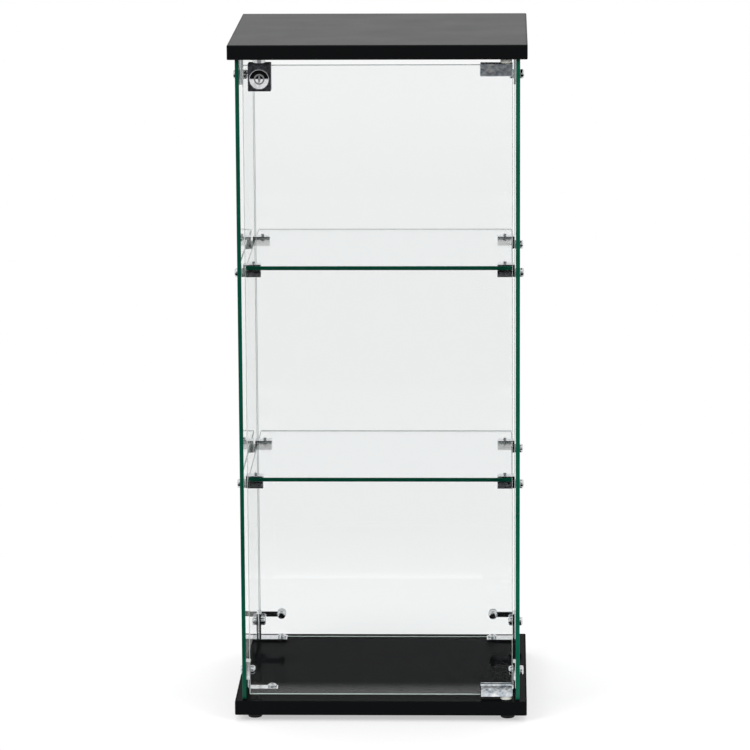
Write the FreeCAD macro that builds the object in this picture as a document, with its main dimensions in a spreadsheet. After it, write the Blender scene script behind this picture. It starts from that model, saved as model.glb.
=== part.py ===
import FreeCAD, Part
import os
import re

import Sketcher
from FreeCAD import Placement, Rotation, Vector

# Frameless glass display case: two boards, three fixed panes, a pivoting glass door with a lock
# and two glass shelves held by clips. Millimetres, +Z up, +X to the viewer's right, the door
# faces -Y, and the origin is on the floor under the middle of the case.

SIZES = {
    # Base board and top board
    "board_width": 365,
    "board_depth": 330,
    "board_thickness": 18,
    "board_edge": 1,
    # Rubber feet and their screws
    "foot_height": 8,
    "foot_top_radius": 10.5,
    "foot_bottom_radius": 8.5,
    "foot_round": 1,
    "foot_inset": 24,
    "foot_recess_radius": 5,
    "foot_recess_depth": 4.5,
    "foot_screw_head_radius": 4,
    "foot_screw_head_height": 2.5,
    "foot_screw_socket_radius": 1.7,
    "foot_screw_socket_depth": 1.2,
    # Fixed panes
    "pane_height": 806,
    "pane_thickness": 5,
    "pane_edge": 0.6,
    "side_overhang": 9,
    "front_overhang": 10,
    "rear_overhang": 14,
    "back_pane_clearance": 0.5,
    # Door pane
    "door_thickness": 5,
    "door_side_gap": 4,
    "door_bottom_gap": 5,
    "door_top_gap": 8,
    "door_inset": 4,
    # Shelves
    "shelf_thickness": 5,
    "shelf_front_gap": 12,
    "shelf_back_gap": 2,
    "shelf_edge_clearance": 0.5,
    "lower_shelf_height": 275,
    "upper_shelf_height": 542,
    # Shelf clips, their pads and set screws
    "clip_wall": 3,
    "clip_reach": 19,
    "clip_depth": 16,
    "clip_lower_jaw": 8.5,
    "clip_upper_jaw": 1.5,
    "clip_edge": 0.5,
    "clip_play": 0.3,
    "clip_pad_thickness": 0.5,
    "clip_pad_margin": 1.5,
    "clip_front_setback": 1,
    "clip_rear_setback": 65,
    "clip_bolt_bite": 9,
    "grub_radius": 2,
    "grub_socket_radius": 1,
    "grub_socket_depth": 1.5,
    "clip_screw_proud": 2.5,
    # Bolts through the panes, their washers and cap nuts
    "bolt_radius": 2.5,
    "bolt_head_radius": 5.8,
    "bolt_head_height": 4,
    "bolt_head_round": 2.2,
    "bolt_socket_radius": 2.3,
    "bolt_socket_depth": 2.2,
    "washer_radius": 5.5,
    "washer_thickness": 1,
    "nut_radius": 5.8,
    "nut_height": 6,
    "nut_round": 3.2,
    "nut_bore_depth": 3.5,
    "hole_clearance": 0.5,
    "thread_clearance": 0.05,
    "thread_spare": 0.3,
    # Brackets between the boards and the panes, and their screws
    "bracket_thickness": 3,
    "bracket_width": 16,
    "bracket_foot_length": 37,
    "bracket_leg_height": 37,
    "bracket_bolt_height": 25,
    "bracket_screw_reach": 30,
    "bracket_edge": 0.5,
    "front_bracket_setback": 49,
    "corner_bracket_width": 22,
    "arm_height": 32,
    "arm_width": 7,
    "arm_reach": 29,
    "arm_boss_radius": 6,
    "screw_radius": 2,
    "screw_head_radius": 5.5,
    "screw_head_height": 4,
    "screw_head_round": 2.5,
    "screw_socket_radius": 2,
    "screw_socket_depth": 2,
    "screw_bite": 12,
    "pilot_spare": 1,
    # Pivot hinges
    "hinge_length": 40,
    "hinge_height": 16,
    "hinge_floor": 2,
    "hinge_front_wall": 3,
    "hinge_rear_wall": 3.5,
    "hinge_edge": 0.8,
    "hinge_pivot_offset": 8,
    "hinge_liner": 0.5,
    "hinge_plate": 1.5,
    "hinge_plate_margin": 2,
    "hinge_screw_spacing": 22,
    "hinge_screw_proud": 0.5,
    "hinge_float": 0.3,
    "pin_radius": 3,
    "pin_depth": 9,
    "pin_clearance": 0.05,
    "bush_wall": 2,
    "bush_flange_radius": 7,
    # Door lock and its strike
    "lock_width": 28,
    "lock_height": 34,
    "lock_bridge": 3,
    "lock_edge": 0.8,
    "lock_side_offset": 7,
    "lock_front_wall": 2.5,
    "lock_rear_wall": 4,
    "lock_liner": 0.5,
    "lock_cover": 1.5,
    "lock_cover_lip": 2.5,
    "lock_fit": 0.1,
    "lock_screw_spacing": 14,
    "lock_screw_rise": 8,
    "plug_drop": 19,
    "plug_radius": 6.5,
    "plug_clearance": 0.08,
    "plug_recess": 2.6,
    "plug_dish_radius": 4.6,
    "plug_dish_floor": 1.8,
    "plug_dish": 1.4,
    "ring_radius": 12.2,
    "ring_height": 3.4,
    "ring_rim": 0.7,
    "ring_round": 0.6,
    "ring_dish": 2.4,
    "key_slot_width": 2,
    "key_slot_length": 8,
    "key_slot_depth": 2.4,
    "drive_offset": 3,
    "drive_radius": 1.5,
    "drive_slot_play": 0.9,
    "latch_width": 7,
    "latch_thickness": 4,
    "latch_clearance": 0.3,
    "carriage_width": 15,
    "carriage_height": 10,
    "strike_gap": 1,
    "strike_wall": 1.5,
    "strike_clearance": 0.8,
    "strike_flange": 1.5,
    "strike_depth": 8,
}

PLACES = {
    # Levels of the boards
    "base_top": "foot_height + board_thickness",
    "lid_bottom": "base_top + pane_height",
    "pane_middle": "base_top + pane_height / 2",
    "foot_x": "board_width / 2 - foot_inset",
    "foot_y": "board_depth / 2 - foot_inset",
    # Faces of the fixed panes
    "pane_outer_x": "board_width / 2 - side_overhang",
    "pane_inner_x": "pane_outer_x - pane_thickness",
    "pane_front_y": "-board_depth / 2 + front_overhang",
    "back_rear_y": "board_depth / 2 - rear_overhang",
    "back_front_y": "back_rear_y - pane_thickness",
    "hole_radius": "bolt_radius + hole_clearance",
    # Faces of the door
    "door_front_y": "pane_front_y + door_inset",
    "door_rear_y": "door_front_y + door_thickness",
    "door_edge_x": "pane_inner_x - door_side_gap",
    "door_bottom": "base_top + door_bottom_gap",
    "door_top": "lid_bottom - door_top_gap",
    # Shelves and clips
    "clip_outer_x": "pane_inner_x - washer_thickness",
    "clip_slot": "clip_pad_thickness + shelf_thickness + clip_play",
    "clip_length": "clip_wall + clip_reach",
    "clip_screw_x": "clip_wall + clip_reach / 2",
    "shelf_edge_x": "clip_outer_x - clip_wall - shelf_edge_clearance",
    "shelf_front_y": "door_rear_y + shelf_front_gap",
    "shelf_rear_y": "back_front_y - shelf_back_gap",
    "front_clip_y": "shelf_front_y + clip_front_setback + clip_depth / 2",
    "rear_clip_y": "shelf_rear_y - clip_rear_setback",
    "clip_bolt_drop": "clip_pad_thickness + clip_lower_jaw / 2",
    # Brackets
    "front_bracket_y": "pane_front_y + front_bracket_setback",
    "corner_bracket_y": "back_front_y - corner_bracket_width / 2",
    "bracket_screw_x": "pane_inner_x - bracket_screw_reach",
    "arm_bolt_x": "pane_inner_x - arm_reach",
    "bolt_grip": "washer_thickness + pane_thickness + bracket_thickness + nut_bore_depth - thread_spare",
    # Hinges
    "pivot_x": "door_edge_x - hinge_pivot_offset",
    "pivot_y": "door_front_y + door_thickness / 2",
    "hinge_front_y": "door_front_y - hinge_liner - hinge_front_wall",
    "hinge_slot_rear": "hinge_front_wall + hinge_liner + door_thickness + hinge_plate",
    "hinge_width": "hinge_slot_rear + hinge_rear_wall",
    "hinge_screw_z": "hinge_floor + (hinge_height - hinge_floor) / 2",
    "bush_radius": "pin_radius + pin_clearance + bush_wall",
    # Lock
    "lock_left_x": "-door_edge_x + lock_side_offset",
    "lock_top": "door_top + lock_bridge",
    "lock_bottom": "lock_top - lock_height",
    "plug_x": "lock_left_x + lock_width / 2",
    "plug_z": "lock_top - plug_drop",
    "cavity_depth": "latch_thickness + 2 * latch_clearance",
    "lock_slot_front_y": "door_front_y - lock_liner",
    "cavity_rear_y": "lock_slot_front_y - lock_cover",
    "cavity_front_y": "cavity_rear_y - cavity_depth",
    "lock_front_y": "cavity_front_y - lock_front_wall",
    "lock_slot_rear_y": "door_rear_y + lock_liner",
    "lock_rear_y": "lock_slot_rear_y + lock_rear_wall",
    "cavity_half_width": "carriage_width / 2 + latch_clearance",
    "cavity_half_height": "drive_offset + carriage_height / 2 + latch_clearance",
    "cover_half_width": "cavity_half_width + lock_cover_lip",
    "cover_half_height": "cavity_half_height + lock_cover_lip",
    "latch_y": "cavity_front_y + cavity_depth / 2",
    "latch_front_y": "latch_y - latch_thickness / 2",
    "carriage_z": "plug_z - drive_offset",
    "strike_bore_radius": "sqrt(latch_width ^ 2 + latch_thickness ^ 2) / 2 + strike_clearance",
    "strike_radius": "strike_bore_radius + strike_wall",
    "strike_height": "door_top_gap - lock_bridge - strike_gap",
}

UP = Rotation()
DOWN = Rotation(Vector(1, 0, 0), 180)
LEFT = Rotation(Vector(0, 1, 0), -90)
FRONT = Rotation(Vector(1, 0, 0), 90)
BACK = Rotation(Vector(1, 0, 0), -90)
FULL_TURN = 360
TOUCH = 1e-6

doc = FreeCAD.newDocument("DisplayCase")
nodes = []


def fill_sheet(name, cells):
    """Make a sheet with one named cell per entry."""
    sheet = doc.addObject("Spreadsheet::Sheet", name)
    for row, (alias, content) in enumerate(cells.items(), start=1):
        sheet.set("A%d" % row, alias)
        sheet.set("B%d" % row, content)
        sheet.setAlias("B%d" % row, alias)
    return sheet


def formula(text):
    """Point every named value in a formula at the sheet that holds it."""
    def with_sheet(match):
        word = match.group()
        if word in SIZES:
            return "Sizes." + word
        if word in PLACES:
            return "Places." + word
        return word
    return re.sub(r"[a-z_]+", with_sheet, text)


sizes = fill_sheet("Sizes", {alias: str(size) for alias, size in SIZES.items()})
places = fill_sheet("Places", {alias: "=" + formula(text) for alias, text in PLACES.items()})
doc.recompute()


def value(text):
    """The number that a formula gives now."""
    return float(sizes.evalExpression(formula(text)))


def bind(item, target, text):
    item.setExpression(target, formula(text))


def place(item, x, y, z, rotation=UP):
    item.Placement = Placement(Vector(), rotation)
    for axis, text in zip("xyz", (x, y, z)):
        bind(item, ".Placement.Base." + axis, text)
    return item


def node(item, label):
    """Keep an object as a finished sub-part under the given name."""
    item.Label = label
    nodes.append(item)
    return item


def new_body(name):
    return doc.addObject("PartDesign::Body", name)


def new_sketch(body, plane, offset="0"):
    """A sketch on one of the body's own origin planes, moved along the plane's normal."""
    sketch = body.newObject("Sketcher::SketchObject", "Sketch")
    support = [item for item in body.Origin.OriginFeatures if item.Role == plane + "_Plane"]
    sketch.AttachmentSupport = [(support[0], "")]
    sketch.MapMode = "FlatFace"
    bind(sketch, ".AttachmentOffset.Base.z", offset)
    return sketch


def pin_point(sketch, geometry, point, x, y):
    """Hold a sketch point at a distance from the sketch's origin."""
    for kind, text in (("DistanceX", x), ("DistanceY", y)):
        index = sketch.addConstraint(Sketcher.Constraint(kind, -1, 1, geometry, point, value(text)))
        bind(sketch, "Constraints[%d]" % index, text)


def draw_outline(sketch, corners):
    """Draw a closed outline of straight lines through the given corners."""
    first = sketch.GeometryCount
    points = [Vector(value(x), value(y), 0) for x, y in corners]
    ends = points[1:] + points[:1]
    for start, end in zip(points, ends):
        sketch.addGeometry(Part.LineSegment(start, end))
    for step, (x, y) in enumerate(corners):
        before = first + (step - 1) % len(corners)
        sketch.addConstraint(Sketcher.Constraint("Coincident", before, 2, first + step, 1))
        pin_point(sketch, first + step, 1, x, y)


def draw_circle(sketch, x, y, radius):
    centre = Vector(value(x), value(y), 0)
    circle = sketch.addGeometry(Part.Circle(centre, Vector(0, 0, 1), value(radius)))
    index = sketch.addConstraint(Sketcher.Constraint("Radius", circle, value(radius)))
    bind(sketch, "Constraints[%d]" % index, radius)
    pin_point(sketch, circle, 3, x, y)


def rectangle(x_low, x_high, y_low, y_high):
    return [(x_low, y_low), (x_high, y_low), (x_high, y_high), (x_low, y_high)]


def pad(body, sketch, length, centred=False, reverse=False):
    feature = body.newObject("PartDesign::Pad", "Pad")
    feature.Profile = sketch
    feature.SideType = "Symmetric" if centred else "One side"
    feature.Reversed = reverse
    bind(feature, "Length", length)
    doc.recompute()
    return feature


def pocket(body, sketch, depth=None, reverse=False):
    """Cut a sketch to a depth, or right through both ways, and make sure that it cuts."""
    before = body.Shape.Volume
    feature = body.newObject("PartDesign::Pocket", "Pocket")
    feature.Profile = sketch
    feature.Reversed = reverse
    if depth is None:
        feature.Type = "ThroughAll"
        feature.SideType = "Symmetric"
    else:
        bind(feature, "Length", depth)
    doc.recompute()
    if body.Shape.Volume > before - TOUCH:
        raise RuntimeError("a pocket of %s cuts nothing" % body.Label)
    return feature


def break_edges(body, feature, size):
    """Take a small chamfer off every edge."""
    chamfer = body.newObject("PartDesign::Chamfer", "Chamfer")
    chamfer.Base = (feature, [""])
    chamfer.UseAllEdges = True
    bind(chamfer, "Size", size)
    doc.recompute()
    return chamfer


def drill(body, plane, offset, holes, depth=None, reverse=False):
    """Cut round holes, each given as x, y and radius on the plane."""
    sketch = new_sketch(body, plane, offset)
    for x, y, radius in holes:
        draw_circle(sketch, x, y, radius)
    return pocket(body, sketch, depth, reverse)


def turned(profile, rim=None):
    """A turned body about its own Z axis, with one rim rounded: its radius, height and rounding."""
    body = new_body("Turned")
    sketch = new_sketch(body, "XZ")
    draw_outline(sketch, profile)
    feature = body.newObject("PartDesign::Revolution", "Revolution")
    feature.Profile = sketch
    feature.ReferenceAxis = (sketch, ["V_Axis"])
    feature.Angle = FULL_TURN
    doc.recompute()
    if rim:
        radius, height, rounding = rim
        names = []
        for number, edge in enumerate(feature.Shape.Edges, start=1):
            if not isinstance(edge.Curve, Part.Circle):
                continue
            at_height = abs(edge.Curve.Center.z - value(height)) < TOUCH
            if at_height and abs(edge.Curve.Radius - value(radius)) < TOUCH:
                names.append("Edge%d" % number)
        fillet = body.newObject("PartDesign::Fillet", "Fillet")
        fillet.Base = (feature, names)
        bind(fillet, "Radius", rounding)
        doc.recompute()
    return body


def block(x, y, z, length, width, height, edge):
    """A solid block with its edges broken, from its low corner."""
    body = new_body("Block")
    sketch = new_sketch(body, "XY")
    draw_outline(sketch, rectangle("0", length, "0", width))
    feature = pad(body, sketch, height)
    break_edges(body, feature, edge)
    return place(body, x, y, z)


def box(x, y, z, length, width, height):
    """A plain box from its low corner."""
    item = doc.addObject("Part::Box", "Box")
    bind(item, "Length", length)
    bind(item, "Width", width)
    bind(item, "Height", height)
    return place(item, x, y, z)


def cylinder(x, y, z, radius, height, rotation=UP):
    item = doc.addObject("Part::Cylinder", "Cylinder")
    bind(item, "Radius", radius)
    bind(item, "Height", height)
    return place(item, x, y, z, rotation)


def fused(items):
    item = doc.addObject("Part::MultiFuse", "Fused")
    item.Shapes = items
    return item


def cut(base, tools):
    item = doc.addObject("Part::Cut", "Cut")
    item.Base = base
    item.Tool = fused(tools) if len(tools) > 1 else tools[0]
    return item


def mirror_side(source):
    """The same piece on the right-hand side."""
    item = doc.addObject("Part::Mirroring", "RightSide")
    item.Source = source
    item.Normal = Vector(1, 0, 0)
    return item


def mirror_height(source, level):
    """The same piece turned over about a level."""
    item = doc.addObject("Part::Mirroring", "TurnedOver")
    item.Source = source
    item.Normal = Vector(0, 0, 1)
    bind(item, "Base.z", level)
    return item


def both_sides(item):
    return [item, mirror_side(item)]


def four_corners(item):
    """A bottom left piece with its copies on the right and at the top."""
    bottom = both_sides(item)
    return bottom + [mirror_height(piece, "pane_middle") for piece in bottom]


def group(items):
    item = doc.addObject("Part::Compound", "Group")
    item.Links = items
    return item


# Fasteners, each turned about +Z with its seat at the origin

def hexagon(radius):
    half = "%s / 2" % radius
    high = "%s * sqrt(3) / 2" % radius
    upper = [(radius, "0"), (half, high), ("-" + half, high)]
    lower = [("-" + radius, "0"), ("-" + half, "-" + high), (half, "-" + high)]
    return upper + lower


def headed(kind, shank_radius, length, head_round):
    """A screw or bolt with a round head and a hexagon socket, its head sizes named after its kind."""
    head_radius = kind + "_head_radius"
    head_height = kind + "_head_height"
    profile = [("0", "-(%s)" % length), (shank_radius, "-(%s)" % length), (shank_radius, "0"),
               (head_radius, "0"), (head_radius, head_height), ("0", head_height)]
    body = turned(profile, (head_radius, head_height, head_round))
    socket = new_sketch(body, "XY", head_height)
    draw_outline(socket, hexagon(kind + "_socket_radius"))
    pocket(body, socket, kind + "_socket_depth")
    return body


def pane_bolt(length):
    return headed("bolt", "bolt_radius", length, "bolt_head_round")


def cap_nut():
    bore = "bolt_radius + thread_clearance"
    profile = [(bore, "0"), ("nut_radius", "0"), ("nut_radius", "nut_height"), ("0", "nut_height"),
               ("0", "nut_bore_depth"), (bore, "nut_bore_depth")]
    return turned(profile, ("nut_radius", "nut_height", "nut_round"))


def washer():
    return turned(rectangle("hole_radius", "washer_radius", "0", "washer_thickness"))


def grub_screw(length, proud):
    floor = "%s - grub_socket_depth" % proud
    profile = [("0", "-(%s)" % length), ("grub_radius", "-(%s)" % length), ("grub_radius", proud),
               ("grub_socket_radius", proud), ("grub_socket_radius", floor), ("0", floor)]
    return turned(profile)


# Boards

BRACKET_ROWS = ("front_bracket_y", "corner_bracket_y")
SCREW_HOLES = [(side + "bracket_screw_x", row, "screw_radius + thread_clearance")
               for side in ("-", "") for row in BRACKET_ROWS]
FOOT_CORNERS = {"front_left": ("-foot_x", "-foot_y"), "front_right": ("foot_x", "-foot_y"),
                "rear_left": ("-foot_x", "foot_y"), "rear_right": ("foot_x", "foot_y")}
BUSH_HOLE = [("pivot_x", "pivot_y", "bush_radius + thread_clearance")]
PILOT_DEPTH = "screw_bite + pilot_spare"
BUSH_DEPTH = "pin_depth + pilot_spare"


def board():
    body = new_body("Board")
    sketch = new_sketch(body, "XY")
    outline = rectangle("-board_width / 2", "board_width / 2", "-board_depth / 2", "board_depth / 2")
    draw_outline(sketch, outline)
    break_edges(body, pad(body, sketch, "board_thickness"), "board_edge")
    return body


def make_boards():
    base = board()
    drill(base, "XY", "board_thickness", SCREW_HOLES, PILOT_DEPTH)
    drill(base, "XY", "board_thickness", BUSH_HOLE, BUSH_DEPTH)
    foot_holes = [(x, y, "screw_radius + thread_clearance") for x, y in FOOT_CORNERS.values()]
    drill(base, "XY", "0", foot_holes, PILOT_DEPTH, reverse=True)
    node(place(base, "0", "0", "foot_height"), "base_board")

    top = board()
    drill(top, "XY", "0", SCREW_HOLES, PILOT_DEPTH, reverse=True)
    drill(top, "XY", "0", BUSH_HOLE, BUSH_DEPTH, reverse=True)
    strike_hole = [("plug_x", "latch_y", "strike_radius + thread_clearance")]
    drill(top, "XY", "0", strike_hole, "strike_depth + pilot_spare", reverse=True)
    node(place(top, "0", "0", "lid_bottom"), "top_board")


def make_feet():
    bore = "screw_radius + thread_clearance"
    profile = [(bore, "foot_recess_depth"), ("foot_recess_radius", "foot_recess_depth"),
               ("foot_recess_radius", "0"), ("foot_bottom_radius", "0"),
               ("foot_top_radius", "foot_height"), (bore, "foot_height")]
    screws = []
    for corner, (x, y) in FOOT_CORNERS.items():
        foot = turned(profile, ("foot_bottom_radius", "0", "foot_round"))
        node(place(foot, x, y, "0"), corner + "_foot")
        screw = headed("foot_screw", "screw_radius", "foot_height - foot_recess_depth + screw_bite",
                       "foot_screw_head_height / 2")
        screws.append(place(screw, x, y, "foot_recess_depth", DOWN))
    node(group(screws), "foot_screws")


# Fixed panes, door and shelves

SHELF_UNDERSIDES = {"lower": "base_top + lower_shelf_height", "upper": "base_top + upper_shelf_height"}
CLIP_ROWS = {"front": "front_clip_y", "rear": "rear_clip_y"}
CLIP_BOLTS = [(row, underside + " - clip_bolt_drop")
              for underside in SHELF_UNDERSIDES.values() for row in CLIP_ROWS.values()]
BRACKET_LEVELS = ("base_top + bracket_bolt_height", "lid_bottom - bracket_bolt_height")
BRACKET_BOLTS = [(row, level) for row in BRACKET_ROWS for level in BRACKET_LEVELS]
ARM_LEVELS = ("base_top + arm_height", "lid_bottom - arm_height")
ARM_BOLTS = [(side + "arm_bolt_x", level) for side in ("-", "") for level in ARM_LEVELS]


def pane(plane, outline, thickness, holes=()):
    """A pane with seamed edges, drawn upright on its plane and drilled."""
    body = new_body("Pane")
    sketch = new_sketch(body, plane)
    draw_outline(sketch, outline)
    reverse = plane == "XZ"
    break_edges(body, pad(body, sketch, thickness, reverse=reverse), "pane_edge")
    if holes:
        drill(body, plane, "0", [(across, up, "hole_radius") for across, up in holes])
    return body


def make_panes():
    side_outline = rectangle("pane_front_y", "back_rear_y", "base_top", "lid_bottom")
    left = pane("YZ", side_outline, "pane_thickness", CLIP_BOLTS + BRACKET_BOLTS)
    node(place(left, "-pane_outer_x", "0", "0"), "left_pane")
    node(mirror_side(left), "right_pane")

    back_edge = "pane_inner_x - back_pane_clearance"
    back_outline = rectangle("-(%s)" % back_edge, back_edge, "base_top", "lid_bottom")
    back = pane("XZ", back_outline, "pane_thickness", ARM_BOLTS)
    node(place(back, "0", "back_front_y", "0"), "back_pane")

    door = pane("XZ", rectangle("-door_edge_x", "door_edge_x", "door_bottom", "door_top"), "door_thickness")
    node(place(door, "0", "door_front_y", "0"), "door_pane")


def make_shelves():
    for name, underside in SHELF_UNDERSIDES.items():
        shelf = block("-shelf_edge_x", "shelf_front_y", underside, "2 * shelf_edge_x",
                      "shelf_rear_y - shelf_front_y", "shelf_thickness", "pane_edge")
        node(shelf, name + "_shelf")


# Shelf clips

def clip():
    """A C-shaped clip: its wall at the pane, its slot open towards the middle of the case."""
    body = new_body("Clip")
    sketch = new_sketch(body, "XZ")
    top = "clip_slot + clip_upper_jaw"
    draw_outline(sketch, rectangle("0", "clip_length", "-clip_lower_jaw", top))
    break_edges(body, pad(body, sketch, "clip_depth", centred=True), "clip_edge")
    slot = new_sketch(body, "XZ")
    draw_outline(slot, rectangle("clip_wall", "clip_length", "0", "clip_slot"))
    pocket(body, slot)
    bolt_hole = [("0", "-clip_lower_jaw / 2", "bolt_radius + thread_clearance")]
    drill(body, "YZ", "0", bolt_hole, "clip_bolt_bite + pilot_spare", reverse=True)
    screw_hole = [("clip_screw_x", "0", "grub_radius + thread_clearance")]
    drill(body, "XY", top, screw_hole, "clip_upper_jaw")
    return body


def make_clips():
    pads, screws, bolts, washers = [], [], [], []
    bolt_length = "2 * washer_thickness + pane_thickness + clip_bolt_bite"
    screw_length = "clip_upper_jaw + clip_play"
    for shelf, underside in SHELF_UNDERSIDES.items():
        for row, y in CLIP_ROWS.items():
            seat = underside + " - clip_pad_thickness"
            left = place(clip(), "-clip_outer_x", y, seat)
            node(left, "%s_%s_left_clip" % (shelf, row))
            node(mirror_side(left), "%s_%s_right_clip" % (shelf, row))

            cushion = box("-clip_outer_x + clip_wall + clip_pad_margin",
                          "%s - clip_depth / 2 + clip_pad_margin" % y, seat,
                          "clip_reach - 2 * clip_pad_margin", "clip_depth - 2 * clip_pad_margin",
                          "clip_pad_thickness")
            pads += both_sides(cushion)

            screw = place(grub_screw(screw_length, "clip_screw_proud"), "-clip_outer_x + clip_screw_x", y,
                          seat + " + clip_slot + clip_upper_jaw")
            screws += both_sides(screw)

            level = underside + " - clip_bolt_drop"
            bolt = place(pane_bolt(bolt_length), "-pane_outer_x - washer_thickness", y, level, LEFT)
            bolts += both_sides(bolt)
            washers += both_sides(place(washer(), "-pane_outer_x", y, level, LEFT))
            washers += both_sides(place(washer(), "-pane_inner_x + washer_thickness", y, level, LEFT))
    node(group(pads), "clip_pads")
    node(group(screws), "clip_set_screws")
    node(group(bolts), "clip_bolts")
    node(group(washers), "clip_washers")


# Brackets

def angle_bracket(width):
    """An L-shaped bracket: a foot on the board and a leg against the side pane."""
    body = new_body("Bracket")
    sketch = new_sketch(body, "XZ")
    draw_outline(sketch, [("0", "0"), ("bracket_foot_length", "0"),
                          ("bracket_foot_length", "bracket_thickness"),
                          ("bracket_thickness", "bracket_thickness"),
                          ("bracket_thickness", "bracket_leg_height"), ("0", "bracket_leg_height")])
    break_edges(body, pad(body, sketch, width, centred=True), "bracket_edge")
    return body


def add_back_arm(body):
    """An arm along the back pane that ends in a round boss."""
    rear = "-corner_bracket_width / 2"
    bar = new_sketch(body, "XZ", rear)
    draw_outline(bar, rectangle("bracket_thickness / 2", "arm_reach", "arm_height - arm_width / 2",
                                "arm_height + arm_width / 2"))
    pad(body, bar, "bracket_thickness")
    boss = new_sketch(body, "XZ", rear)
    draw_circle(boss, "arm_reach", "arm_height", "arm_boss_radius")
    pad(body, boss, "bracket_thickness")
    hole = [("arm_reach", "arm_height", "bolt_radius + thread_clearance")]
    drill(body, "XZ", rear, hole, "bracket_thickness", reverse=True)


def drill_bracket(body):
    drill(body, "YZ", "0", [("0", "bracket_bolt_height", "hole_radius")], "bracket_thickness", reverse=True)
    screw_hole = [("bracket_screw_reach", "0", "screw_radius + hole_clearance")]
    drill(body, "XY", "0", screw_hole, "bracket_thickness", reverse=True)


def make_brackets():
    front = angle_bracket("bracket_width")
    drill_bracket(front)
    place(front, "-pane_inner_x", "front_bracket_y", "base_top")
    corner = angle_bracket("corner_bracket_width")
    add_back_arm(corner)
    drill_bracket(corner)
    place(corner, "-pane_inner_x", "corner_bracket_y", "base_top")
    places_around = ("bottom_left", "bottom_right", "top_left", "top_right")
    for kind, bracket in (("front", front), ("rear", corner)):
        for where, piece in zip(places_around, four_corners(bracket)):
            node(piece, "%s_%s_bracket" % (kind, where))


def make_bracket_fasteners():
    bolts, nuts, washers, screws = [], [], [], []
    level = "base_top + bracket_bolt_height"
    for row in BRACKET_ROWS:
        outside = "-pane_outer_x - washer_thickness"
        bolts += four_corners(place(pane_bolt("bolt_grip"), outside, row, level, LEFT))
        washers += four_corners(place(washer(), "-pane_outer_x", row, level, LEFT))
        inside = "-pane_inner_x + bracket_thickness"
        nuts += four_corners(place(cap_nut(), inside, row, level, LEFT.inverted()))
        screw = headed("screw", "screw_radius", "bracket_thickness + screw_bite", "screw_head_round")
        screws += four_corners(place(screw, "-bracket_screw_x", row, "base_top + bracket_thickness"))

    arm_level = "base_top + arm_height"
    behind = "back_rear_y + washer_thickness"
    bolts += four_corners(place(pane_bolt("bolt_grip"), "-arm_bolt_x", behind, arm_level, BACK))
    washers += four_corners(place(washer(), "-arm_bolt_x", "back_rear_y", arm_level, BACK))
    before = "back_front_y - bracket_thickness"
    nuts += four_corners(place(cap_nut(), "-arm_bolt_x", before, arm_level, FRONT))
    node(group(bolts), "bracket_bolts")
    node(group(nuts), "bracket_cap_nuts")
    node(group(washers), "bracket_washers")
    node(group(screws), "bracket_screws")


# Pivot hinges of the door

DOOR_MIDDLE = "(door_bottom + door_top) / 2"


def hinge_block():
    """A channel that holds the door's lower edge, with a hole for the pivot pin in its floor."""
    body = new_body("HingeBlock")
    sketch = new_sketch(body, "YZ")
    draw_outline(sketch, rectangle("0", "hinge_width", "0", "hinge_height"))
    break_edges(body, pad(body, sketch, "hinge_length"), "hinge_edge")
    slot = new_sketch(body, "YZ")
    draw_outline(slot, rectangle("hinge_front_wall", "hinge_slot_rear", "hinge_floor", "hinge_height"))
    pocket(body, slot)
    pin_hole = [("hinge_length - hinge_pivot_offset", "pivot_y - hinge_front_y",
                 "pin_radius + thread_clearance")]
    drill(body, "XY", "0", pin_hole, "hinge_floor", reverse=True)
    middle = "hinge_length / 2"
    screw_holes = [("%s %s hinge_screw_spacing / 2" % (middle, sign), "hinge_screw_z",
                    "grub_radius + thread_clearance") for sign in "-+"]
    drill(body, "XZ", "-hinge_width", screw_holes, "hinge_rear_wall", reverse=True)
    return place(body, "door_edge_x - hinge_length", "hinge_front_y", "door_bottom - hinge_floor")


def hinge_pin(gap):
    """A pin pressed into the block's floor and reaching into the board's bush."""
    length = "hinge_floor + pin_depth + (%s)" % gap
    return cylinder("pivot_x", "pivot_y", "door_bottom", "pin_radius", length, DOWN)


def hinge_bush(gap):
    """A flanged bush in the board, its flange just clear of the hinge block."""
    bore = "pin_radius + pin_clearance"
    flange = "%s - hinge_float" % gap
    return turned([(bore, "-pin_depth"), ("bush_radius", "-pin_depth"), ("bush_radius", "0"),
                   ("bush_flange_radius", "0"), ("bush_flange_radius", flange), (bore, flange)])


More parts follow.
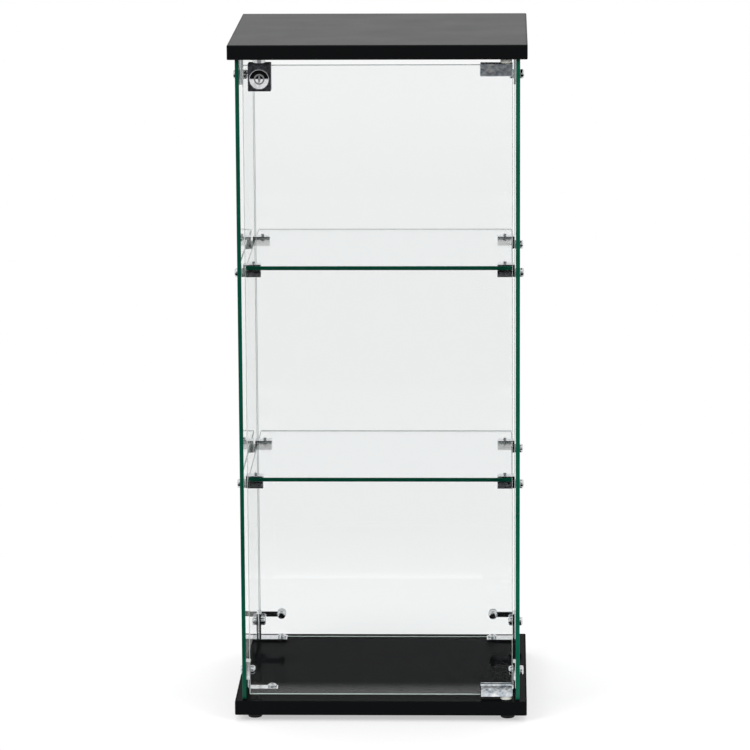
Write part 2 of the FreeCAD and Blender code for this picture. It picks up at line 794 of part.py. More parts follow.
def make_hinges():
    bottom = node(hinge_block(), "bottom_hinge_block")
    node(mirror_height(bottom, DOOR_MIDDLE), "top_hinge_block")

    bottom_gap = "door_bottom_gap - hinge_floor"
    top_gap = "door_top_gap - hinge_floor"
    node(hinge_pin(bottom_gap), "bottom_hinge_pin")
    node(mirror_height(hinge_pin(top_gap), DOOR_MIDDLE), "top_hinge_pin")
    node(place(hinge_bush(bottom_gap), "pivot_x", "pivot_y", "base_top"), "bottom_hinge_bush")
    node(place(hinge_bush(top_gap), "pivot_x", "pivot_y", "lid_bottom", DOWN), "top_hinge_bush")

    x = "door_edge_x - hinge_length + hinge_plate_margin"
    length = "hinge_length - 2 * hinge_plate_margin"
    height = "hinge_height - hinge_floor - hinge_plate_margin"
    plate = box(x, "door_rear_y", "door_bottom", length, "hinge_plate", height)
    node(group([plate, mirror_height(plate, DOOR_MIDDLE)]), "hinge_pressure_plates")
    liner = box(x, "door_front_y - hinge_liner", "door_bottom", length, "hinge_liner", height)
    node(group([liner, mirror_height(liner, DOOR_MIDDLE)]), "hinge_liners")

    screws = []
    for sign in "-+":
        screw_x = "door_edge_x - hinge_length / 2 %s hinge_screw_spacing / 2" % sign
        screw = place(grub_screw("hinge_rear_wall", "hinge_screw_proud"), screw_x,
                      "hinge_front_y + hinge_width", "door_bottom - hinge_floor + hinge_screw_z", BACK)
        screws += [screw, mirror_height(screw, DOOR_MIDDLE)]
    node(group(screws), "hinge_set_screws")


# Door lock

def lock_body():
    """A block that straddles the door's top edge and houses the latch in front of the glass."""
    outer = block("lock_left_x", "lock_front_y", "lock_bottom", "lock_width", "lock_rear_y - lock_front_y",
                  "lock_height", "lock_edge")
    slot = box("lock_left_x", "lock_slot_front_y", "lock_bottom", "lock_width",
               "lock_slot_rear_y - lock_slot_front_y", "lock_height - lock_bridge")
    recess = box("plug_x - cover_half_width", "cavity_rear_y", "plug_z - cover_half_height",
                 "2 * cover_half_width", "lock_cover", "2 * cover_half_height")
    cavity = box("plug_x - cavity_half_width", "cavity_front_y", "plug_z - cavity_half_height",
                 "2 * cavity_half_width", "cavity_depth", "2 * cavity_half_height")
    channel = box("plug_x - latch_width / 2 - latch_clearance", "cavity_front_y", "plug_z",
                  "latch_width + 2 * latch_clearance", "cavity_depth", "plug_drop")
    bore = cylinder("plug_x", "cavity_front_y", "plug_z", "plug_radius + plug_clearance",
                    "lock_front_wall", FRONT)
    screw_holes = [cylinder("plug_x %s lock_screw_spacing / 2" % sign, "lock_rear_y",
                            "lock_bottom + lock_screw_rise", "grub_radius + thread_clearance",
                            "lock_rear_wall", FRONT) for sign in "-+"]
    return cut(outer, [slot, recess, cavity, channel, bore] + screw_holes)


def lock_ring():
    """The raised ring round the plug, whose face is dished towards it."""
    bore = "plug_radius + plug_clearance"
    profile = [(bore, "0"), ("ring_radius", "0"), ("ring_radius", "ring_height"),
               ("ring_radius - ring_rim", "ring_height"), (bore, "ring_height - ring_dish")]
    ring = turned(profile, ("ring_radius", "ring_height", "ring_round"))
    return place(ring, "plug_x", "lock_front_y", "plug_z", FRONT)


def lock_plug():
    """The turning plug with its dished face, its key slot and the drive pin that lifts the latch."""
    face = "ring_height - plug_recess"
    floor = "ring_height - plug_recess - plug_dish"
    profile = [("0", "-lock_front_wall"), ("plug_radius", "-lock_front_wall"), ("plug_radius", face),
               ("plug_dish_radius", face), ("plug_dish_floor", floor), ("0", floor)]
    body = turned(profile)
    pin = new_sketch(body, "XY", "-lock_front_wall")
    draw_circle(pin, "0", "-drive_offset", "drive_radius")
    pad(body, pin, "latch_clearance + latch_thickness", reverse=True)
    key_slot = new_sketch(body, "XY", face)
    draw_outline(key_slot, rectangle("-key_slot_width / 2", "key_slot_width / 2",
                                     "-key_slot_length / 2", "key_slot_length / 2"))
    pocket(body, key_slot, "key_slot_depth")
    return place(body, "plug_x", "lock_front_y", "plug_z", FRONT)


def lock_latch():
    """A bar with a cross slot for the drive pin and a tongue that rises out of the lock."""
    carriage = box("plug_x - carriage_width / 2", "latch_front_y", "carriage_z - carriage_height / 2",
                   "carriage_width", "latch_thickness", "carriage_height")
    tongue = box("plug_x - latch_width / 2", "latch_front_y", "carriage_z", "latch_width",
                 "latch_thickness", "lock_top - carriage_z")
    slot = box("plug_x - drive_offset - drive_radius - latch_clearance", "latch_front_y",
               "carriage_z - drive_radius - drive_slot_play",
               "drive_offset + 2 * drive_radius + 2 * latch_clearance", "latch_thickness",
               "2 * drive_radius + 2 * drive_slot_play")
    return cut(fused([carriage, tongue]), [slot])


def make_lock():
    node(lock_body(), "lock_body")
    node(lock_ring(), "lock_ring")
    node(lock_plug(), "lock_plug")
    node(lock_latch(), "lock_latch")
    cover = box("plug_x - cover_half_width + lock_fit", "cavity_rear_y",
                "plug_z - cover_half_height + lock_fit", "2 * cover_half_width - 2 * lock_fit",
                "lock_cover", "2 * cover_half_height - 2 * lock_fit")
    node(cover, "lock_cover_plate")
    liners = [box("lock_left_x + lock_edge", y, "lock_bottom + lock_edge", "lock_width - 2 * lock_edge",
                  "lock_liner", "lock_height - lock_bridge - lock_edge")
              for y in ("lock_slot_front_y", "door_rear_y")]
    node(group(liners), "lock_liners")
    screws = [place(grub_screw("lock_rear_wall", "hinge_screw_proud"),
                    "plug_x %s lock_screw_spacing / 2" % sign, "lock_rear_y",
                    "lock_bottom + lock_screw_rise", BACK) for sign in "-+"]
    node(group(screws), "lock_set_screws")
    flange = "strike_radius + strike_flange"
    strike = turned([("strike_bore_radius", "-strike_depth"), ("strike_radius", "-strike_depth"),
                     ("strike_radius", "0"), (flange, "0"), (flange, "strike_height"),
                     ("strike_bore_radius", "strike_height")])
    node(place(strike, "plug_x", "latch_y", "lid_bottom", DOWN), "strike_ferrule")


def check_document():
    """Stop if any object failed or any sub-part is empty or broken."""
    for item in doc.Objects:
        if "Invalid" in item.State or "Error" in item.State:
            raise RuntimeError("%s failed: %s" % (item.Label, item.State))
    for item in nodes:
        if item.Shape.isNull() or not item.Shape.isValid():
            raise RuntimeError("%s has no sound shape" % item.Label)


def write_parts():
    os.makedirs("parts", exist_ok=True)
    for item in nodes:
        item.Shape.exportStep("parts/%s.step" % item.Label)
    print("%d sub-parts written" % len(nodes))


make_boards()
make_feet()
make_panes()
make_shelves()
make_clips()
make_brackets()
make_bracket_fasteners()
make_hinges()
make_lock()
doc.recompute()
check_document()
write_parts()
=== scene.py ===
# %% [markdown]
# # A frameless glass display case
#
# The real object is a tall showcase: two black boards, three fixed panes, two glass shelves and a
# glass door, held together by small chrome fittings. All of its shapes come from a CAD model, so
# this lesson is about finishes, light and the camera. We load the model first.

import math

import bpy
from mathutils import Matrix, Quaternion, Vector


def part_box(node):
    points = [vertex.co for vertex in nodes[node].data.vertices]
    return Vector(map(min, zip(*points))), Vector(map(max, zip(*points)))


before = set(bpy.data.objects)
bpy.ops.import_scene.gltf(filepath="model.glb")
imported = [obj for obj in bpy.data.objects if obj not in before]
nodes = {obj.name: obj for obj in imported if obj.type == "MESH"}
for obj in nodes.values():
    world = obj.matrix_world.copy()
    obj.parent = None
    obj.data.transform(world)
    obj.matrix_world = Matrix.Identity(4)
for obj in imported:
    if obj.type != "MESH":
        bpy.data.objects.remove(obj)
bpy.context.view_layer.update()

# %% [markdown]
# ## Small helpers
#
# Colours are written as sRGB hex values, the way a paint chart gives them, and Blender's shaders
# work in linear light, so one function converts them. A second function adds a node, sets its
# values and links its inputs in one line, which keeps every material readable from top to bottom.
# Two more start an empty material and hand a finished one to the pieces that wear it.

# %% Colour and node helpers
MM = 0.001
NOISE_LOW = 0.3      # nearly all values of a noise texture lie between these two
NOISE_HIGH = 0.7


def hex_colour(text):
    """Turn an sRGB hex value into the linear colour that shaders expect."""
    channels = [int(text[start:start + 2], 16) / 255 for start in (1, 3, 5)]
    linear = [c / 12.92 if c <= 0.04045 else ((c + 0.055) / 1.055) ** 2.4 for c in channels]
    return (*linear, 1.0)


def add(tree, kind, inputs=None, **settings):
    """Add a node. Inputs are given by name or number, as plain values or as sockets to link."""
    node = tree.nodes.new(kind)
    for name, setting in settings.items():
        setattr(node, name, setting)
    for name, content in (inputs or {}).items():
        if isinstance(content, bpy.types.NodeSocket):
            tree.links.new(content, node.inputs[name])
        else:
            node.inputs[name].default_value = content
    return node


print("mid grey in linear light: %.3f" % hex_colour("#808080")[0])


# %% Material helpers
def new_material(name):
    """An empty material with its output node."""
    material = bpy.data.materials.new(name)
    material.use_nodes = True
    material.node_tree.nodes.clear()
    return material, material.node_tree, add(material.node_tree, "ShaderNodeOutputMaterial")


def dress(material, *names):
    """Give CAD pieces a finish."""
    for name in names:
        nodes[name].data.materials.clear()
        nodes[name].data.materials.append(material)
    print(material.name, "on", len(names), "pieces")


# %% [markdown]
# ## Black melamine board
#
# The top and the base are particle board pressed with black melamine paper, with a 2 mm plastic
# band glued along the edges. Melamine is smooth and slightly orange-peeled: nearly black when you
# look straight at it and grey where you look along it, because it then mirrors the bright room. A
# scanned picture of such a board could be wrapped round it, but noise stays sharp at any distance:
# a fine noise roughens the gloss and a broad one adds the faint cloudiness of handling. The band is
# duller than the paper, and a dark glue line runs between them. The top has been polished more
# than the base, so each board gets its own amount of polish.

# %% Melamine with an edge band
PORE = 1.6 * MM                   # real pores are nearer 0.3 mm, drawn coarser so that they show
PORE_DEPTH = 0.05 * MM
PORE_BUMP = 0.05
PORE_ROUGHNESS = 0.05
SMUDGE = 70 * MM
WIPED, SMUDGED = 0.48, 0.54       # roughness of the resin
RESIN_IOR = 1.45
COAT_ROUGHNESS = 0.06
BAND = 2.0 * MM
GLUE_LINE = 0.35 * MM


def melamine(name, board, sheen, polish):
    """Black paper under resin, with a duller band along the edges of a board."""
    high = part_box(board)[1]
    material, tree, output = new_material(name)
    place = add(tree, "ShaderNodeTexCoord").outputs["Object"]
    pores = add(tree, "ShaderNodeTexNoise", {"Vector": place, "Scale": 1 / PORE, "Detail": 2.0})
    smudges = add(tree, "ShaderNodeTexNoise", {"Vector": place, "Scale": 1 / SMUDGE, "Detail": 3.0})

    across = add(tree, "ShaderNodeSeparateXYZ", {"Vector": place})
    margins = []
    for axis, half in (("X", high.x), ("Y", high.y)):
        size = add(tree, "ShaderNodeMath", {0: across.outputs[axis]}, operation="ABSOLUTE")
        margin = add(tree, "ShaderNodeMath", {0: half - BAND, 1: size.outputs[0]}, operation="SUBTRACT")
        margins.append(margin.outputs[0])
    inside = add(tree, "ShaderNodeMath", {0: margins[0], 1: margins[1]}, operation="MINIMUM").outputs[0]
    banded = add(tree, "ShaderNodeMath", {0: inside, 1: 0.0}, operation="LESS_THAN")
    glue = add(tree, "ShaderNodeMath", {0: inside, 1: 0.0, 2: GLUE_LINE}, operation="COMPARE")

    gloss = add(tree, "ShaderNodeMapRange", {"Value": smudges.outputs["Fac"],
                                             "From Min": NOISE_LOW, "From Max": NOISE_HIGH,
                                             "To Min": WIPED, "To Max": SMUDGED})
    grain = add(tree, "ShaderNodeMath", {0: pores.outputs["Fac"], 1: PORE_ROUGHNESS,
                                         2: gloss.outputs["Result"]}, operation="MULTIPLY_ADD")
    shade = add(tree, "ShaderNodeMix", {"Factor": pores.outputs["Fac"], "A": hex_colour("#08090A"),
                                        "B": hex_colour("#0E0F10")}, data_type="RGBA")
    colour = add(tree, "ShaderNodeMix", {"Factor": glue.outputs[0], "A": shade.outputs["Result"],
                                         "B": hex_colour("#020202")}, data_type="RGBA")
    coat = add(tree, "ShaderNodeMapRange", {"Value": banded.outputs[0], "To Min": polish,
                                            "To Max": polish / 2})
    bump = add(tree, "ShaderNodeBump", {"Strength": PORE_BUMP, "Distance": PORE_DEPTH,
                                        "Height": pores.outputs["Fac"]})
    surface = add(tree, "ShaderNodeBsdfPrincipled", {"Base Color": colour.outputs["Result"],
                                                     "Roughness": grain.outputs[0],
                                                     "IOR": RESIN_IOR,
                                                     "Specular IOR Level": sheen,
                                                     "Coat Weight": coat.outputs["Result"],
                                                     "Coat Roughness": COAT_ROUGHNESS,
                                                     "Normal": bump.outputs["Normal"]})
    tree.links.new(surface.outputs["BSDF"], output.inputs["Surface"])
    return material


# %% Dress the boards
dress(melamine("Black melamine, base", "base_board", sheen=0.0, polish=0.08), "base_board")
dress(melamine("Black melamine, polished top", "top_board", sheen=0.10, polish=0.17), "top_board")

# %% [markdown]
# ## Float glass
#
# The panes are 5 mm float glass. Looked at through its faces it is almost colourless, with a breath
# of green in the side panes, but along its length the iron in it adds up. So the long edges of the
# sides and the shelves, which face us, show a deep green line. The edges of the back and the door
# are painted pale instead, as painted light from the white room behind them, and the left pane's
# edges are painted darker than the right pane's, as painted shade. A volume that swallows red light
# would give the green by itself, but it needs many bounces and turns noisy. Here one material does
# both: the direction of the surface tells faces from edges, and the flat of an edge from the bevels
# ground along it. Polished edges catch light unevenly, and a noise paints this as streaks of light
# and shade along them. Light from lamps has to reach the boards behind the glass, so shadow rays
# pass through the faces with a slight tint.

# %% Glass with green edges
GLASS_IOR = 1.5
EDGE_LIGHT_STREAK = 45 * MM
EDGE_ROUGHNESS = 0.22
EDGE_SHEEN = 0.2
ROLLER_WAVE = 180 * MM        # tempering rollers leave a very long, very shallow wave
WAVE_DEPTH = 0.3 * MM
WAVE_BUMP = 0.05
FACE = 0.9                    # share of the normal across the pane: a face has more than this,
EDGE_FLAT = 0.3               # the flat of an edge has less than this, and a bevel lies between


def float_glass(name, thin_axis, tint, dark, light, bevel):
    """Clear faces and coloured edges for a pane that is thin along one axis."""
    material, tree, output = new_material(name)
    geometry = add(tree, "ShaderNodeNewGeometry")
    normal = add(tree, "ShaderNodeVectorTransform", {"Vector": geometry.outputs["True Normal"]},
                 vector_type="NORMAL", convert_from="WORLD", convert_to="OBJECT")
    part = add(tree, "ShaderNodeSeparateXYZ", {"Vector": normal.outputs["Vector"]}).outputs[thin_axis]
    size = add(tree, "ShaderNodeMath", {0: part}, operation="ABSOLUTE").outputs[0]
    edge = add(tree, "ShaderNodeMath", {0: size, 1: FACE}, operation="LESS_THAN")
    flat = add(tree, "ShaderNodeMath", {0: size, 1: EDGE_FLAT}, operation="LESS_THAN")

    place = add(tree, "ShaderNodeTexCoord").outputs["Object"]
    wave = add(tree, "ShaderNodeTexNoise", {"Vector": place, "Scale": 1 / ROLLER_WAVE, "Detail": 0.0})
    bump = add(tree, "ShaderNodeBump", {"Strength": WAVE_BUMP, "Distance": WAVE_DEPTH,
                                        "Height": wave.outputs["Fac"]})
    clear = add(tree, "ShaderNodeBsdfPrincipled", {"Base Color": hex_colour(tint), "Roughness": 0.0,
                                                   "IOR": GLASS_IOR, "Transmission Weight": 1.0,
                                                   "Normal": bump.outputs["Normal"]})
    passing = add(tree, "ShaderNodeBsdfTransparent", {"Color": hex_colour("#F6FAF8")})
    shadow = add(tree, "ShaderNodeLightPath").outputs["Is Shadow Ray"]
    face = add(tree, "ShaderNodeMixShader", {0: shadow, 1: clear.outputs["BSDF"],
                                             2: passing.outputs["BSDF"]})

    # painted light and shade: the noise makes the edge colour lighter and darker in streaks along the edges
    edge_light_streaks = add(tree, "ShaderNodeTexNoise", {"Vector": place, "Scale": 1 / EDGE_LIGHT_STREAK, "Detail": 2.0})
    green = add(tree, "ShaderNodeMix", {"Factor": edge_light_streaks.outputs["Fac"], "A": hex_colour(dark),
                                        "B": hex_colour(light)}, data_type="RGBA")
    ground = add(tree, "ShaderNodeMix", {"Factor": flat.outputs[0], "A": hex_colour(bevel),
                                         "B": green.outputs["Result"]}, data_type="RGBA")
    rim = add(tree, "ShaderNodeBsdfPrincipled", {"Base Color": ground.outputs["Result"],
                                                 "Roughness": EDGE_ROUGHNESS, "IOR": GLASS_IOR,
                                                 "Specular IOR Level": EDGE_SHEEN})
    both = add(tree, "ShaderNodeMixShader", {0: edge.outputs[0], 1: face.outputs["Shader"],
                                             2: rim.outputs["BSDF"]})
    tree.links.new(both.outputs["Shader"], output.inputs["Surface"])
    return material


# %% Dress the panes and the shelves
# painted shade: the left pane's edge greens are darker than the right pane's, a shaded copy of the same
# glass
dress(float_glass("Float glass, left pane, painted shade on edges", "X", tint="#F9FDFB", dark="#013426", light="#065440",
                  bevel="#07503C"), "left_pane")
dress(float_glass("Float glass, right pane", "X", tint="#F9FDFB", dark="#024030", light="#0A6A50",
                  bevel="#0B5A45"), "right_pane")
# painted light: the back and door edges are pale, painted with the light of the white room around them
dress(float_glass("Float glass, back and door, painted light on edges", "Y", tint="#FDFEFE", dark="#86B5A4", light="#B9D8CC",
                  bevel="#EDF4F1"), "back_pane", "door_pane")
dress(float_glass("Float glass, shelves", "Z", tint="#FDFEFE", dark="#02402F", light="#0A5F48",
                  bevel="#0B5A45"), "lower_shelf", "upper_shelf")

# %% [markdown]
# ## Chrome and other metals
#
# Clips, brackets, bolts and the lock's ring and plug are die-cast zinc with polished chrome plate.
# Chrome has hardly any colour of its own: it shows the room, black where it faces the dark side
# and white where it faces a lit wall. What gives it away as a real casting is a faint unevenness
# under the plate, so the normal wavers a little and the gloss varies. The hinges are tumbled before
# plating, which leaves broad shallow dents: the lower one mirrors the white paper in blotches and
# the upper one the grey room. On the hinges, bluish grey to white blotches of the dents' size are
# also painted into the colour as painted reflection. The lock's housing is plated with darker
# nickel, and the small screws, the pins and the latch with zinc. Each could be a material of its
# own, but one function makes them all, because they differ only in colour, in gloss and in the
# ripple under the plate.

# %% Plated metal
CAST_RIPPLE = (3.0 * MM, 0.01 * MM)      # width and depth
TUMBLED_DENTS_AND_PAINTED_REFLECTIONS = (7.0 * MM, 0.12 * MM)


def plated(name, dark, light, smooth, dull, ripple_size=CAST_RIPPLE):
    """A metal whose colour and gloss vary over its casting; on the hinges the strong colour blotches are
    painted reflection.
    """
    width, depth = ripple_size
    material, tree, output = new_material(name)
    place = add(tree, "ShaderNodeTexCoord").outputs["Object"]
    ripple = add(tree, "ShaderNodeTexNoise", {"Vector": place, "Scale": 1 / width, "Detail": 2.0})
    # the blotch mixes the colour: a small real unevenness on most metals, painted reflection on the hinges
    cast_blotch_and_painted_reflection = add(tree, "ShaderNodeMapRange", {"Value": ripple.outputs["Fac"],
                                              "From Min": NOISE_LOW, "From Max": NOISE_HIGH})
    colour = add(tree, "ShaderNodeMix", {"Factor": cast_blotch_and_painted_reflection.outputs["Result"], "A": hex_colour(dark),
                                         "B": hex_colour(light)}, data_type="RGBA")
    gloss = add(tree, "ShaderNodeMapRange", {"Value": cast_blotch_and_painted_reflection.outputs["Result"], "To Min": smooth,
                                             "To Max": dull})
    bump = add(tree, "ShaderNodeBump", {"Distance": depth, "Height": ripple.outputs["Fac"]})
    surface = add(tree, "ShaderNodeBsdfPrincipled", {"Base Color": colour.outputs["Result"],
                                                     "Metallic": 1.0,
                                                     "Roughness": gloss.outputs["Result"],
                                                     "Normal": bump.outputs["Normal"]})
    tree.links.new(surface.outputs["BSDF"], output.inputs["Surface"])
    return material


# %% Dress the fittings
clips = [name for name in nodes if name.endswith("_clip")]
brackets = [name for name in nodes if name.endswith("_bracket")]
dress(plated("Polished chrome plate", dark="#C6C8CB", light="#E4E5E7", smooth=0.04, dull=0.10),
      *clips, *brackets, "bracket_bolts", "bracket_cap_nuts", "bracket_screws", "clip_bolts",
      "lock_ring", "lock_plug", "strike_ferrule")
# painted reflection: the strong bluish grey to white colour blotches stand for the room mirrored in the
# dents
dress(plated("Tumbled chrome plate, painted reflections", dark="#98A6B4", light="#FCFEFE", smooth=0.10, dull=0.16,
             ripple_size=TUMBLED_DENTS_AND_PAINTED_REFLECTIONS), "bottom_hinge_block", "top_hinge_block")
dress(plated("Dark nickel plate", dark="#424448", light="#707378", smooth=0.42, dull=0.60),
      "lock_body")
dress(plated("Bright zinc plate", dark="#9A9C9F", light="#BFC1C3", smooth=0.25, dull=0.40),
      "clip_set_screws", "hinge_set_screws", "lock_set_screws", "foot_screws",
      "hinge_pressure_plates", "bottom_hinge_pin", "top_hinge_pin", "lock_latch", "lock_cover_plate")

# %% [markdown]
# ## Rubber, vinyl and nylon
#
# The feet are moulded black rubber, dull and slightly grainy. Thin vinyl pads and washers keep the
# metal off the glass; they are milky and let some light through. The door's pins turn in bushes of
# white nylon. Light that scatters under the surface would be truer for vinyl and nylon, but these
# pieces are a few pixels large, so a share of clear transmission is enough. All three are moulded
# and share a soft grain with different colours and gloss.

# %% Moulded pieces
MOULD_GRAIN = 0.8 * MM
GRAIN_DEPTH = 0.1 * MM
GRAIN_BUMP = 0.2


def moulded(name, dark, light, roughness, clearness):
    """A moulded soft material with a fine grain."""
    material, tree, output = new_material(name)
    place = add(tree, "ShaderNodeTexCoord").outputs["Object"]
    grain = add(tree, "ShaderNodeTexNoise", {"Vector": place, "Scale": 1 / MOULD_GRAIN, "Detail": 3.0})
    colour = add(tree, "ShaderNodeMix", {"Factor": grain.outputs["Fac"], "A": hex_colour(dark),
                                         "B": hex_colour(light)}, data_type="RGBA")
    bump = add(tree, "ShaderNodeBump", {"Strength": GRAIN_BUMP, "Distance": GRAIN_DEPTH,
                                        "Height": grain.outputs["Fac"]})
    surface = add(tree, "ShaderNodeBsdfPrincipled", {"Base Color": colour.outputs["Result"],
                                                     "Roughness": roughness,
                                                     "Transmission Weight": clearness,
                                                     "Normal": bump.outputs["Normal"]})
    tree.links.new(surface.outputs["BSDF"], output.inputs["Surface"])
    return material


feet = [name for name in nodes if name.endswith("_foot")]
dress(moulded("Moulded black rubber", dark="#0C0C0D", light="#1A1B1C", roughness=0.75, clearness=0.0),
      *feet)
dress(moulded("Milky vinyl", dark="#D5DCD8", light="#E9EEEB", roughness=0.35, clearness=0.4),
      "clip_pads", "clip_washers", "bracket_washers", "hinge_liners", "lock_liners")
dress(moulded("White nylon", dark="#E2E1DA", light="#EDECE6", roughness=0.5, clearness=0.0),
      "bottom_hinge_bush", "top_hinge_bush")

# %% [markdown]
# ## White floor
#
# The case stands on a sheet of white paper. A curved backdrop could rise behind it, but the world
# is white there already, so a flat sheet is enough. A glass door is a faint mirror: with paper
# reaching far to the front it would lay a grey veil over the black base. So the sheet ends a hand's
# breadth in front of the case, and the door mirrors only the narrow bright band along the base that
# such a case shows in a studio.

# %% Floor sheet
SWEEP_HALF = 1.5
SWEEP_FRONT = -0.315
SWEEP_DROP = 0.2 * MM         # keeps the paper just clear of the feet

corners = [(-SWEEP_HALF, SWEEP_FRONT, 0), (SWEEP_HALF, SWEEP_FRONT, 0),
           (SWEEP_HALF, SWEEP_HALF, 0), (-SWEEP_HALF, SWEEP_HALF, 0)]
floor_mesh = bpy.data.meshes.new("white_floor")
floor_mesh.from_pydata(corners, [], [(0, 1, 2, 3)])
floor = bpy.data.objects.new("white_floor", floor_mesh)
floor.location.z = -SWEEP_DROP
bpy.context.scene.collection.objects.link(floor)

# %% [markdown]
# ## White paper
#
# The paper has a pale diffuse colour, so it catches the soft shadow under the base. Seen by the
# camera, in metal or through glass it also gets a share of plain white light, which grows with the
# distance, so that it blends with the white behind it. Stronger lamps would whiten it too, but they
# would bleach the case. Its front fades to nothing, because a sharp end would show as a line in the
# back pane.

# %% Paper that blends with the background
SWEEP_FADE = 0.04
GLOW_STARTS, GLOW_FULL = 0.25, 0.9      # metres from the middle of the case
GLOW_LEAST, GLOW_MOST = 0.5, 1.0

material, tree, output = new_material("White paper sweep")
path = add(tree, "ShaderNodeLightPath")
seen = add(tree, "ShaderNodeMath", {0: path.outputs["Is Camera Ray"], 1: path.outputs["Is Glossy Ray"]},
           operation="MAXIMUM")
seen = add(tree, "ShaderNodeMath", {0: seen.outputs[0], 1: path.outputs["Is Transmission Ray"]},
           operation="MAXIMUM")
place = add(tree, "ShaderNodeTexCoord").outputs["Object"]
away = add(tree, "ShaderNodeVectorMath", {0: place}, operation="LENGTH")
share = add(tree, "ShaderNodeMapRange", {"Value": away.outputs["Value"],
                                         "From Min": GLOW_STARTS, "From Max": GLOW_FULL,
                                         "To Min": GLOW_LEAST, "To Max": GLOW_MOST})
glow = add(tree, "ShaderNodeMath", {0: seen.outputs[0], 1: share.outputs["Result"]},
           operation="MULTIPLY")
paper = add(tree, "ShaderNodeBsdfDiffuse", {"Color": hex_colour("#EEEEEE")})
white = add(tree, "ShaderNodeEmission", {"Color": hex_colour("#FFFFFF"), "Strength": 1.0})
sweep = add(tree, "ShaderNodeMixShader", {0: glow.outputs[0], 1: paper.outputs["BSDF"],
                                          2: white.outputs["Emission"]})
along = add(tree, "ShaderNodeSeparateXYZ", {"Vector": place}).outputs["Y"]
kept = add(tree, "ShaderNodeMapRange", {"Value": along, "From Min": SWEEP_FRONT,
                                        "From Max": SWEEP_FRONT + SWEEP_FADE})
gone = add(tree, "ShaderNodeBsdfTransparent")
faded = add(tree, "ShaderNodeMixShader", {0: kept.outputs["Result"], 1: gone.outputs["BSDF"],
                                          2: sweep.outputs["Shader"]})
tree.links.new(faded.outputs["Shader"], output.inputs["Surface"])
floor_mesh.materials.append(material)
print(material.name, "fades over %.0f mm" % (SWEEP_FADE / MM))

# %% [markdown]
# ## Studio
#
# A product studio has a white wall behind the object and white cards beside and above it. Behind
# the camera lies a room with a grey wall over a dark floor. All of that could be built from planes,
# but the world shader can hold it with nothing to place: it tells from the direction of a ray what
# metal and glass mirror there. Flat chrome turns dark where it faces the room, and its bevels and
# hollows shine where they face a card. Anything seen directly or straight through glass is plain
# white.

# %% World
ROOM_FLOOR = 0.006                 # brightness
ROOM_WALL = 0.30
WHITE = 1.0
WALL_BEHIND = (0.0, 0.4)           # parts of a unit vector, where one thing fades into the next
CARDS_BESIDE = (-0.88, -0.70)
CARDS_LOW_EDGE = (-0.24, -0.10)
ROOM_SKIRTING = (-0.165, -0.135)
ONE_MIRROR = 0.5                   # fewer bounces than this means that no mirror was met

world = bpy.data.worlds.new("Studio")
bpy.context.scene.world = world
world.use_nodes = True
tree = world.node_tree
tree.nodes.clear()
output = add(tree, "ShaderNodeOutputWorld")
way = add(tree, "ShaderNodeSeparateXYZ", {"Vector": add(tree, "ShaderNodeTexCoord").outputs["Generated"]})
fades = {}
for name, axis, (start, end) in (("behind", "Y", WALL_BEHIND), ("beside", "Y", CARDS_BESIDE),
                                 ("over", "Z", CARDS_LOW_EDGE), ("wall", "Z", ROOM_SKIRTING)):
    fade = add(tree, "ShaderNodeMapRange", {"Value": way.outputs[axis], "From Min": start, "From Max": end})
    fades[name] = fade.outputs["Result"]
cards = add(tree, "ShaderNodeMath", {0: fades["beside"], 1: fades["over"]}, operation="MULTIPLY")
pale = add(tree, "ShaderNodeMath", {0: fades["behind"], 1: cards.outputs[0]}, operation="MAXIMUM")
room = add(tree, "ShaderNodeMix", {"Factor": fades["wall"], "A": ROOM_FLOOR, "B": ROOM_WALL})
studio = add(tree, "ShaderNodeMix", {"Factor": pale.outputs[0], "A": room.outputs["Result"], "B": WHITE})
path = add(tree, "ShaderNodeLightPath")
unmirrored = add(tree, "ShaderNodeMath", {0: path.outputs["Glossy Depth"], 1: ONE_MIRROR},
                 operation="LESS_THAN")
through = add(tree, "ShaderNodeMath", {0: path.outputs["Is Transmission Ray"], 1: unmirrored.outputs[0]},
              operation="MULTIPLY")
straight = add(tree, "ShaderNodeMath", {0: path.outputs["Is Camera Ray"], 1: through.outputs[0]},
               operation="MAXIMUM")
level = add(tree, "ShaderNodeMix", {"Factor": straight.outputs[0], "A": studio.outputs["Result"],
                                    "B": WHITE})
sky = add(tree, "ShaderNodeBackground", {"Color": hex_colour("#FFFFFF"),
                                         "Strength": level.outputs["Result"]})
tree.links.new(sky.outputs["Background"], output.inputs["Surface"])
print(world.name, "with", len(tree.nodes), "nodes")

# %% [markdown]
# ## Lamps
#
# Two broad soft lamps in front and one above light the boards and the paper at a plain level, at
# which a colour looks as it is written. They don't show in mirrors or through glass, because the
# cards already stand for them there. The panes let shadow rays pass, so light bent by the glass
# would only add noise and is left out. The Standard view shows colours unchanged.

# %% Soft lamps and the view
LAMP_AIM = Vector((0, 0, 0.4))


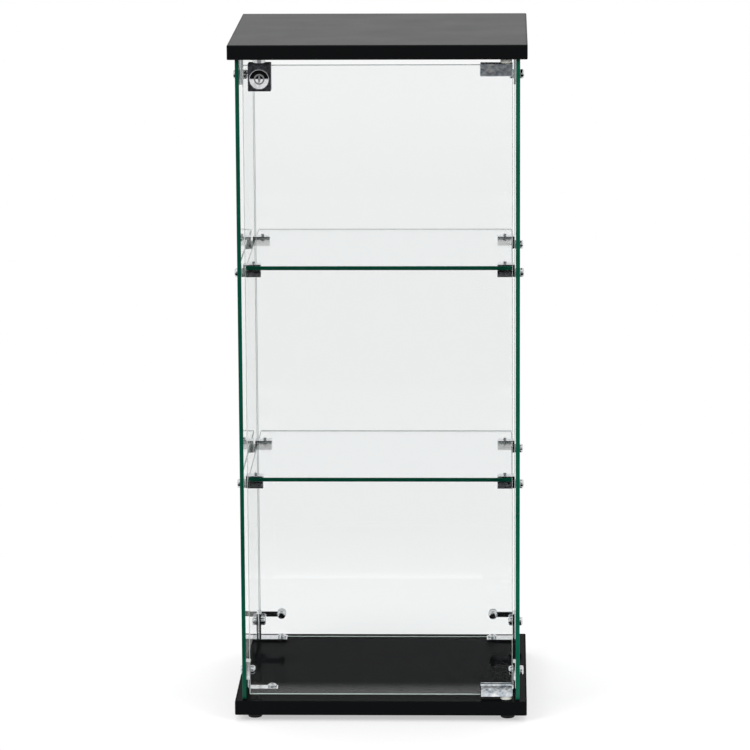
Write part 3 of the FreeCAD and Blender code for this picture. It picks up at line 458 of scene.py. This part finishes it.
def soft_lamp(name, place, size, watts):
    """A square lamp that faces the middle of the case."""
    lamp = bpy.data.lights.new(name, "AREA")
    lamp.size = size
    lamp.energy = watts
    lit = bpy.data.objects.new(name, lamp)
    lit.location = place
    lit.rotation_mode = "QUATERNION"
    lit.rotation_quaternion = (LAMP_AIM - Vector(place)).to_track_quat("-Z", "Y")
    lit.visible_transmission = False
    lit.visible_glossy = False
    bpy.context.scene.collection.objects.link(lit)
    print(name, "at", place, "with", watts, "W")


soft_lamp("front_left_softbox", (-2.2, -2.4, 2.0), size=1.6, watts=60)
soft_lamp("front_right_softbox", (2.4, -2.2, 1.6), size=1.4, watts=36)
soft_lamp("top_softbox", (0.0, 0.3, 3.0), size=1.8, watts=30)
bpy.context.scene.cycles.caustics_refractive = False
bpy.context.scene.view_settings.view_transform = "Standard"

# %% [markdown]
# ## Camera
#
# The picture was taken from about five metres away with a long lens, a little to the right of the
# middle and from slightly above, so that the top board shows as a flat band and the base as a
# deeper one. A camera could be turned by eye until it fits, but angles are easier to correct: we
# aim at the middle of the case, place the camera along a direction given by two angles, and give it
# the small roll that the boards' edges show.

# %% Camera
IMAGE = 750               # pixels
FOCAL = 4254              # pixels
SENSOR = 36               # millimetres
DISTANCE = 5.40
AZIMUTH = math.radians(1.77)
ELEVATION = math.radians(11.51)
ROLL = math.radians(-0.34)
AIM = Vector((-0.0098, 0.0, 0.4088))

towards = Vector((math.sin(AZIMUTH) * math.cos(ELEVATION),
                  -math.cos(AZIMUTH) * math.cos(ELEVATION),
                  math.sin(ELEVATION)))
lens = bpy.data.cameras.new("photo_camera")
lens.sensor_width = SENSOR
lens.lens = FOCAL / IMAGE * SENSOR
camera = bpy.data.objects.new("photo_camera", lens)
camera.location = AIM + DISTANCE * towards
camera.rotation_mode = "QUATERNION"
camera.rotation_quaternion = (-towards).to_track_quat("-Z", "Y") @ Quaternion((0, 0, 1), ROLL)
bpy.context.scene.collection.objects.link(camera)
bpy.context.scene.camera = camera
print("lens %.0f mm" % lens.lens)
